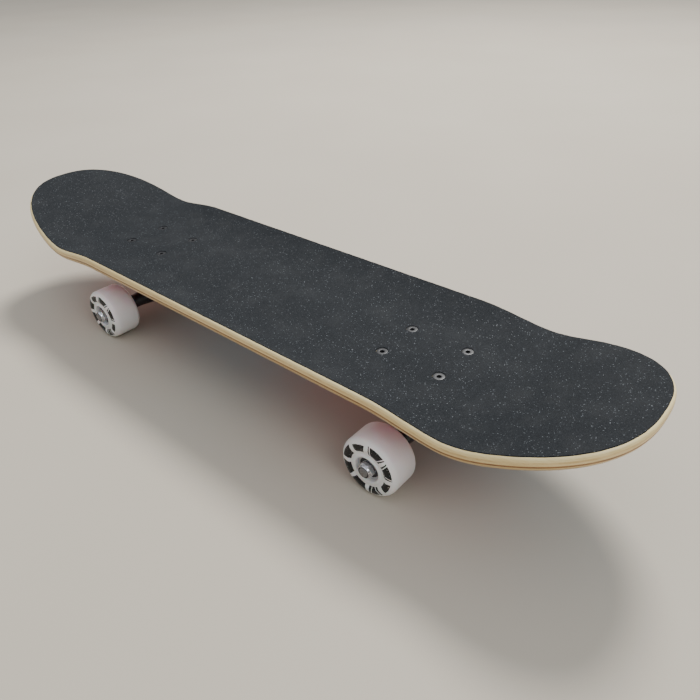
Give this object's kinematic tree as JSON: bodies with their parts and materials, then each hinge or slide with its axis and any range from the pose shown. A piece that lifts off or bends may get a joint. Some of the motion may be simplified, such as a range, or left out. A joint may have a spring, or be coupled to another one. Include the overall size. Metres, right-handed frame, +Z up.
{
  "type": "skateboard",
  "caption": "Complete skateboard: laminated double-kick deck with grip tape, two sprung steering trucks and urethane wheels on ball bearings.",
  "frame": {"origin": "on the floor below the middle of the deck's length, midway between the wheels", "axes": "+X towards the nose, +Y to the rider's left, +Z up from the floor"},
  "size_m": [0.719, 0.1792, 0.1219],
  "materials": {
    "grip_tape": "matt black abrasive sheet on a thin backing, with fine sparkling grit",
    "maple": "rotary-cut maple veneer, sanded and clear-lacquered at the edge",
    "maple_cross": "cross-grain maple veneer, darker end grain at the edge",
    "stained_face": "red-stained maple veneer, lacquered",
    "black_casting": "satin black paint on cast aluminium",
    "axle_steel": "bright turned steel",
    "zinc_steel": "bright zinc-plated steel",
    "black_steel": "black-oxide steel",
    "bearing_steel": "ground and polished bearing steel",
    "bearing_shield": "black rubber-coated shield",
    "nylon": "moulded nylon",
    "bushing": "white cast urethane",
    "pivot_cup": "black urethane",
    "wheel": "white cast urethane with a black pad print"
  },
  "bodies": {
    "deck": {"ply_1_face": "maple", "ply_2_core": "maple", "ply_3_cross": "maple_cross", "ply_4_core": "maple", "ply_5_cross": "maple_cross", "ply_6_core": "maple", "ply_7_back": "stained_face", "grip_tape": "grip_tape", "front_baseplate": "black_casting", "front_pivot_cup": "pivot_cup", "front_kingpin": "zinc_steel", "front_kingpin_nut": "zinc_steel", "front_boardside_bushing": "bushing", "front_roadside_bushing": "bushing", "front_boardside_washer": "zinc_steel", "front_roadside_washer": "zinc_steel", "front_mounting_bolts": "black_steel", "front_mounting_nuts": "black_steel", "rear_baseplate": "black_casting", "rear_pivot_cup": "pivot_cup", "rear_kingpin": "zinc_steel", "rear_kingpin_nut": "zinc_steel", "rear_boardside_bushing": "bushing", "rear_roadside_bushing": "bushing", "rear_boardside_washer": "zinc_steel", "rear_roadside_washer": "zinc_steel", "rear_mounting_bolts": "black_steel", "rear_mounting_nuts": "black_steel"},
    "front_hanger": {"front_hanger": "black_casting", "front_axle": "axle_steel", "front_axle_nuts": "zinc_steel", "front_speed_washers": "zinc_steel", "front_inner_rings": "bearing_steel", "front_spacers": "axle_steel"},
    "rear_hanger": {"rear_hanger": "black_casting", "rear_axle": "axle_steel", "rear_axle_nuts": "zinc_steel", "rear_speed_washers": "zinc_steel", "rear_inner_rings": "bearing_steel", "rear_spacers": "axle_steel"},
    "front_left_wheel": {"front_left_wheel": "wheel", "front_left_outer_rings": "bearing_steel", "front_left_shields": "bearing_shield"},
    "front_left_balls": {"front_left_balls": "bearing_steel", "front_left_ball_cages": "nylon"},
    "front_right_wheel": {"front_right_wheel": "wheel", "front_right_outer_rings": "bearing_steel", "front_right_shields": "bearing_shield"},
    "front_right_balls": {"front_right_balls": "bearing_steel", "front_right_ball_cages": "nylon"},
    "rear_left_wheel": {"rear_left_wheel": "wheel", "rear_left_outer_rings": "bearing_steel", "rear_left_shields": "bearing_shield"},
    "rear_left_balls": {"rear_left_balls": "bearing_steel", "rear_left_ball_cages": "nylon"},
    "rear_right_wheel": {"rear_right_wheel": "wheel", "rear_right_outer_rings": "bearing_steel", "rear_right_shields": "bearing_shield"},
    "rear_right_balls": {"rear_right_balls": "bearing_steel", "rear_right_ball_cages": "nylon"}
  },
  "joints": [
    {"name": "front_steer", "type": "hinge", "parent": "deck", "child": "front_hanger", "pos_m": [0.15449, 0, 0.041], "axis": [0.8797, 0, 0.4755], "range_deg": [-12, 12], "stiffness_Nm_per_rad": 60, "deforming": ["front_boardside_bushing", "front_roadside_bushing"]},
    {"name": "rear_steer", "type": "hinge", "parent": "deck", "child": "rear_hanger", "pos_m": [-0.16749, 0, 0.041], "axis": [-0.8797, 0, 0.4755], "range_deg": [-12, 12], "stiffness_Nm_per_rad": 60, "deforming": ["rear_boardside_bushing", "rear_roadside_bushing"]},
    {"name": "front_left_wheel_spin", "type": "hinge", "parent": "front_hanger", "child": "front_left_wheel", "pos_m": [0.17579, 0.07005, 0.0265], "axis": [0, 1, 0], "continuous": true},
    {"name": "front_left_ball_spin", "type": "hinge", "parent": "front_hanger", "child": "front_left_balls", "pos_m": [0.17579, 0.07005, 0.0265], "axis": [0, 1, 0], "continuous": true},
    {"name": "front_right_wheel_spin", "type": "hinge", "parent": "front_hanger", "child": "front_right_wheel", "pos_m": [0.17579, -0.07005, 0.0265], "axis": [0, 1, 0], "continuous": true},
    {"name": "front_right_ball_spin", "type": "hinge", "parent": "front_hanger", "child": "front_right_balls", "pos_m": [0.17579, -0.07005, 0.0265], "axis": [0, 1, 0], "continuous": true},
    {"name": "rear_left_wheel_spin", "type": "hinge", "parent": "rear_hanger", "child": "rear_left_wheel", "pos_m": [-0.18879, 0.07005, 0.0265], "axis": [0, 1, 0], "continuous": true},
    {"name": "rear_left_ball_spin", "type": "hinge", "parent": "rear_hanger", "child": "rear_left_balls", "pos_m": [-0.18879, 0.07005, 0.0265], "axis": [0, 1, 0], "continuous": true},
    {"name": "rear_right_wheel_spin", "type": "hinge", "parent": "rear_hanger", "child": "rear_right_wheel", "pos_m": [-0.18879, -0.07005, 0.0265], "axis": [0, 1, 0], "continuous": true},
    {"name": "rear_right_ball_spin", "type": "hinge", "parent": "rear_hanger", "child": "rear_right_balls", "pos_m": [-0.18879, -0.07005, 0.0265], "axis": [0, 1, 0], "continuous": true}
  ],
  "couplings": [
    {"joint": "front_left_ball_spin", "follows": "front_left_wheel_spin", "ratio": 0.6323},
    {"joint": "front_right_ball_spin", "follows": "front_right_wheel_spin", "ratio": 0.6323},
    {"joint": "rear_left_ball_spin", "follows": "rear_left_wheel_spin", "ratio": 0.6323},
    {"joint": "rear_right_ball_spin", "follows": "rear_right_wheel_spin", "ratio": 0.6323}
  ]
}
